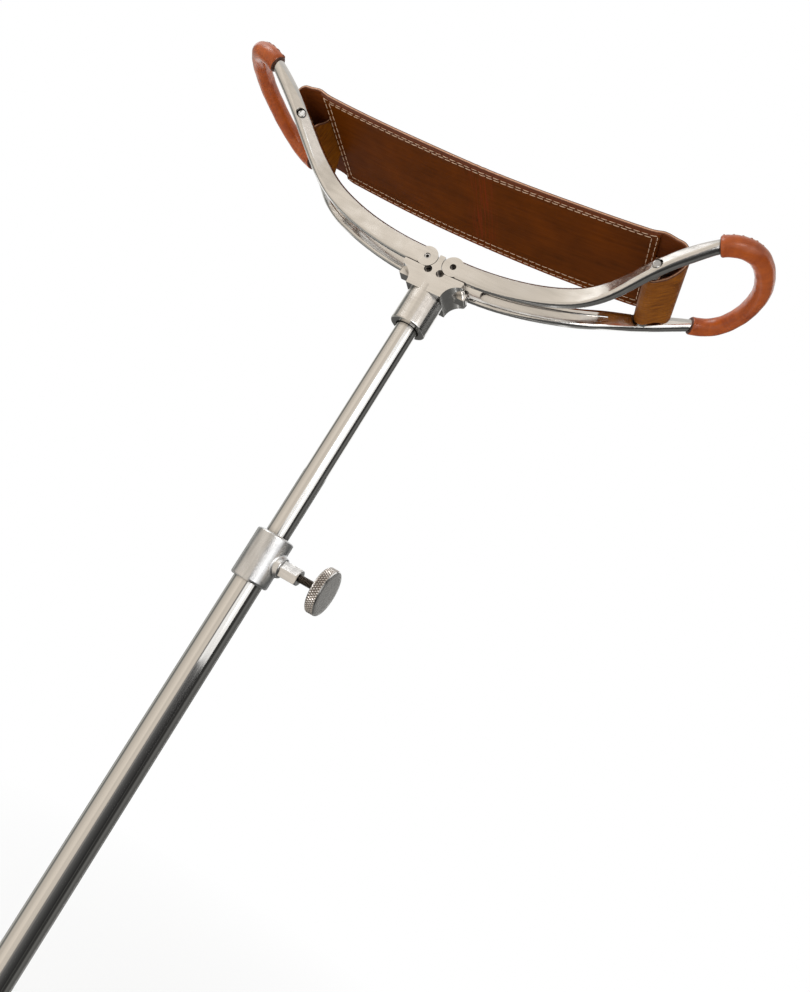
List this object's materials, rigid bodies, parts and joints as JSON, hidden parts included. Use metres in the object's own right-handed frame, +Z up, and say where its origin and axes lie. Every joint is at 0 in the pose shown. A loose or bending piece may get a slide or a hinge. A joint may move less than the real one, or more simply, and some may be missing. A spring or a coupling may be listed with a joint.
{
  "type": "walking stick seat",
  "caption": "Telescopic walking stick with a folding seat: two hinged cast frames with leather handles carry a sling, over a thumb-screw clamp and a spiked foot.",
  "frame": {"origin": "centre of the rubber foot's base, on the stick's axis", "axes": "+Z up the stick, +X to the right handle and the thumb wheel, Y across the sling"},
  "size_m": [0.4648, 0.122, 0.8583],
  "materials": {
    "cast_alloy": "polished cast aluminium, soft grain and fine handling marks",
    "steel_tube": "bright drawn alloy tube, nearly mirror with long fine scratches",
    "collar_alloy": "tumbled bright aluminium",
    "bright_nut": "bright plated hexagon with dulled corners",
    "knurled_alloy": "satin turned faces with a diamond knurled rim",
    "steel_pin": "plain bright steel",
    "black_steel": "black oxide steel",
    "brass_pad": "plain brass",
    "nylon": "natural nylon",
    "spike_steel": "turned steel",
    "ferrule_rubber": "matt black moulded rubber",
    "seat_leather": "tan saddle leather, fine grain, cream stitching",
    "seat_lining": "dark chestnut pulled leather lining, semi gloss",
    "handle_leather": "orange tan hand-sewn leather sleeve, waxed"
  },
  "bodies": {
    "lower_leg": {"lower_tube": "steel_tube", "clamp_collar": "collar_alloy", "collar_pin": "steel_pin", "clamp_nut": "bright_nut", "foot_plug": "collar_alloy", "plug_pin": "steel_pin", "ground_spike": "spike_steel", "mud_disc": "collar_alloy"},
    "upper_leg": {"upper_tube": "steel_tube", "guide_bush": "nylon", "bush_pin": "steel_pin", "head_casting": "cast_alloy", "head_grub_screw": "black_steel", "left_fold_pin": "steel_pin", "right_fold_pin": "steel_pin", "seat_leather": "seat_leather", "seat_lining": "seat_lining"},
    "left_half": {"left_frame": "cast_alloy", "left_cross_rod": "steel_pin", "left_handle_leather": "handle_leather"},
    "right_half": {"right_frame": "cast_alloy", "right_cross_rod": "steel_pin", "right_handle_leather": "handle_leather"},
    "screw_pad": {"pressure_pad": "brass_pad"},
    "thumb_screw": {"clamp_screw": "black_steel", "thumb_wheel": "knurled_alloy"},
    "ferrule": {"rubber_ferrule": "ferrule_rubber", "ferrule_washer": "steel_pin"}
  },
  "joints": [
    {"name": "height_slide", "type": "slide", "parent": "lower_leg", "child": "upper_leg", "axis": [0, 0, 1], "range_m": [-0.17, 0.06]},
    {"name": "left_fold", "type": "hinge", "parent": "upper_leg", "child": "left_half", "pos_m": [-0.0114, 0, 0.76], "axis": [0, 1, 0], "range_deg": [0, 66], "deforming": ["seat_leather", "seat_lining"]},
    {"name": "right_fold", "type": "hinge", "parent": "upper_leg", "child": "right_half", "pos_m": [0.0114, 0, 0.76], "axis": [0, -1, 0], "range_deg": [0, 66], "deforming": ["seat_leather", "seat_lining"]},
    {"name": "screw_turn", "type": "hinge", "parent": "screw_pad", "child": "thumb_screw", "pos_m": [0.04, 0, 0.4995], "axis": [1, 0, 0], "range_deg": [0, 720]},
    {"name": "screw_travel", "type": "slide", "parent": "lower_leg", "child": "screw_pad", "axis": [1, 0, 0], "range_m": [0, 0.0021]},
    {"name": "ferrule_pull", "type": "slide", "parent": "lower_leg", "child": "ferrule", "axis": [0, 0, -1], "range_m": [0, 0.05]}
  ],
  "couplings": [
    {"joint": "screw_travel", "follows": "screw_turn", "m_per_rad": 0.00015915}
  ]
}
